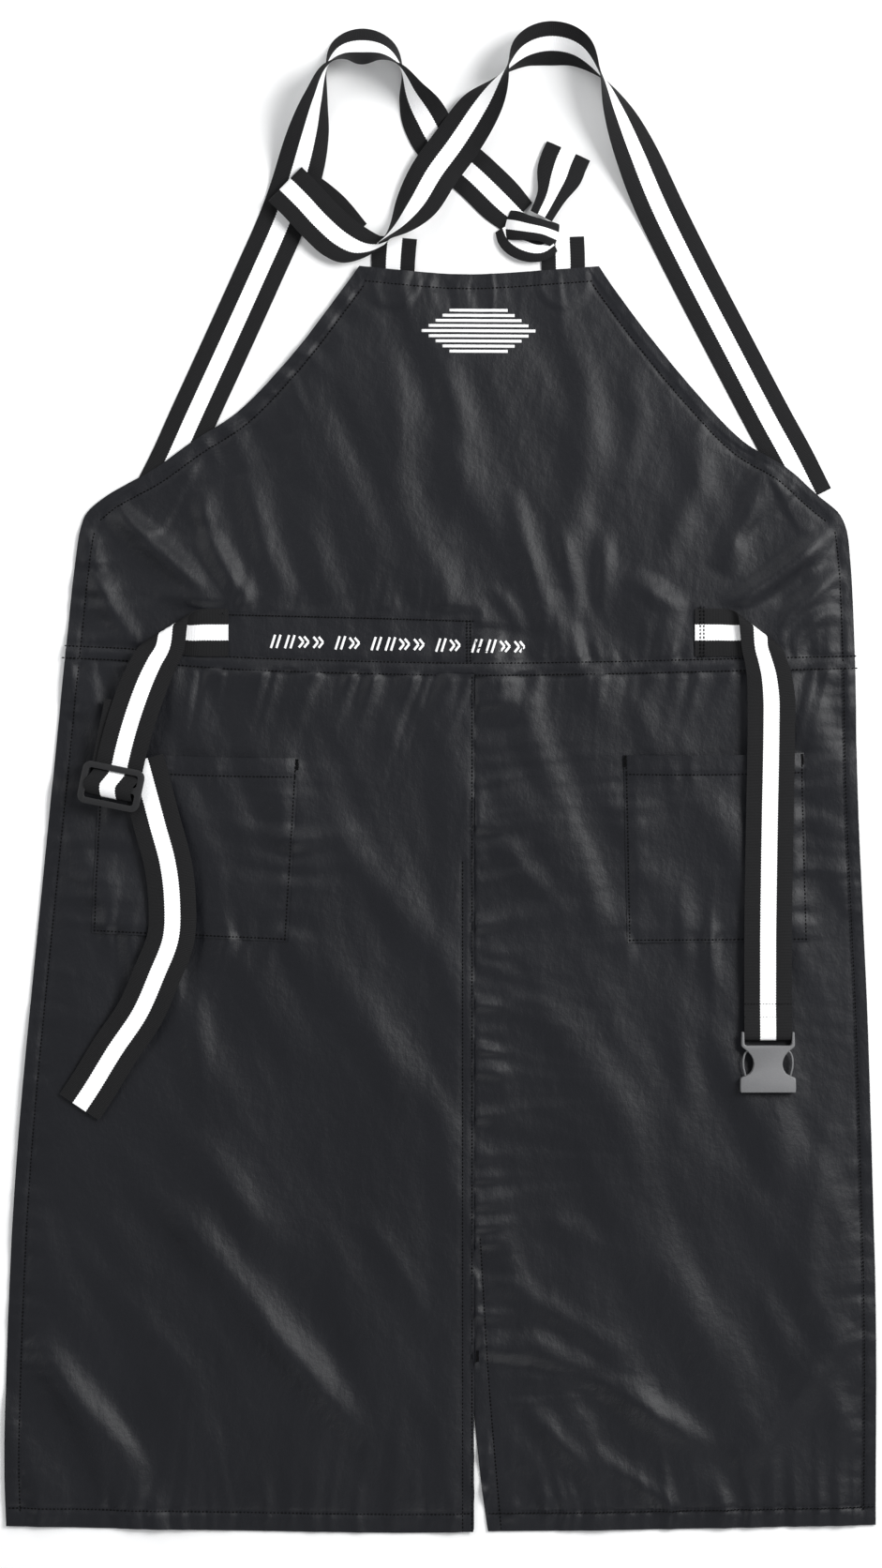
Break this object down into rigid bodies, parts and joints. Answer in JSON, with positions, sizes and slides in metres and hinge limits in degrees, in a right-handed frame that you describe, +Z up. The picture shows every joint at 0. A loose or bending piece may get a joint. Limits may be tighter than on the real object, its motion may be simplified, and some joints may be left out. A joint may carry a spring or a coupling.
{
  "type": "bib smock apron",
  "caption": "Sleeveless bib smock apron in black nylon with striped webbing straps, patch pockets, centre vent, slider and side release buckle socket.",
  "frame": {"origin": "middle of the cloth's outline in plan, on the surface that the apron lies on", "axes": "+Y from the hem to the neck, +X to the right seen from the front, +Z up out of the front"},
  "size_m": [0.6963, 1.2065, 0.0467],
  "materials": {
    "apron_cloth": "satin",
    "apron_lining": "satin",
    "webbing": "matte",
    "buckle_plastic": "satin",
    "slider_plastic": "satin",
    "print_white": "matte",
    "thread": "matte"
  },
  "bodies": {
    "skirt": {"left_skirt_panel": "apron_cloth", "right_skirt_panel": "apron_cloth", "waist_band_panel": "apron_cloth", "waist_seam_tape": "apron_lining", "left_side_hem": "apron_lining", "right_side_hem": "apron_lining", "left_bottom_hem": "apron_lining", "right_bottom_hem": "apron_lining", "left_vent_hem": "apron_lining", "right_vent_hem": "apron_lining", "vent_bar_tack": "thread", "left_band_hem": "apron_lining", "right_band_hem": "apron_lining", "waist_patch": "apron_cloth", "left_strap_stub": "webbing", "right_strap_stub": "webbing", "right_stub_tack": "thread", "left_pocket": "apron_cloth", "right_pocket": "apron_cloth", "left_pocket_hem": "apron_lining", "right_pocket_hem": "apron_lining", "left_pocket_left_tack": "thread", "left_pocket_right_tack": "thread", "right_pocket_left_tack": "thread", "right_pocket_right_tack": "thread"},
    "bib": {"bib_panel": "apron_cloth", "left_bib_side_hem": "apron_lining", "right_bib_side_hem": "apron_lining", "left_armhole_facing": "apron_lining", "right_armhole_facing": "apron_lining", "neck_facing": "apron_lining", "chest_print": "print_white", "left_tab_loop": "webbing", "right_tab_loop": "webbing", "left_neck_strap": "webbing", "right_neck_strap": "webbing", "neck_strap_bow": "webbing", "neck_knot": "webbing", "knot_tail": "webbing"},
    "left_strap": {"left_waist_strap": "webbing"},
    "slider": {"slider_frame": "slider_plastic", "slider_loop": "webbing", "left_strap_tail": "webbing"},
    "right_strap": {"right_waist_strap": "webbing", "right_strap_end_loop": "webbing"},
    "buckle": {"buckle_socket": "buckle_plastic"}
  },
  "joints": [
    {"name": "bib_fold", "type": "hinge", "parent": "skirt", "child": "bib", "pos_m": [0.0155, 0.245, 0.0028], "axis": [1, 0, 0], "range_deg": [0, 150]},
    {"name": "left_strap_swing", "type": "hinge", "parent": "skirt", "child": "left_strap", "pos_m": [-0.2107, 0.214, 0.0054], "axis": [0, 0, 1], "range_deg": [-55, 30]},
    {"name": "slider_slide", "type": "slide", "parent": "left_strap", "child": "slider", "axis": [-0.1994, -0.9799, 0], "range_m": [0, 0.04]},
    {"name": "right_strap_swing", "type": "hinge", "parent": "skirt", "child": "right_strap", "pos_m": [0.243, 0.214, 0.0054], "axis": [0, 0, 1], "range_deg": [-30, 55]},
    {"name": "buckle_swing", "type": "hinge", "parent": "right_strap", "child": "buckle", "pos_m": [0.261, -0.108, 0.0081], "axis": [-1, 0, 0], "range_deg": [0, 120]}
  ]
}
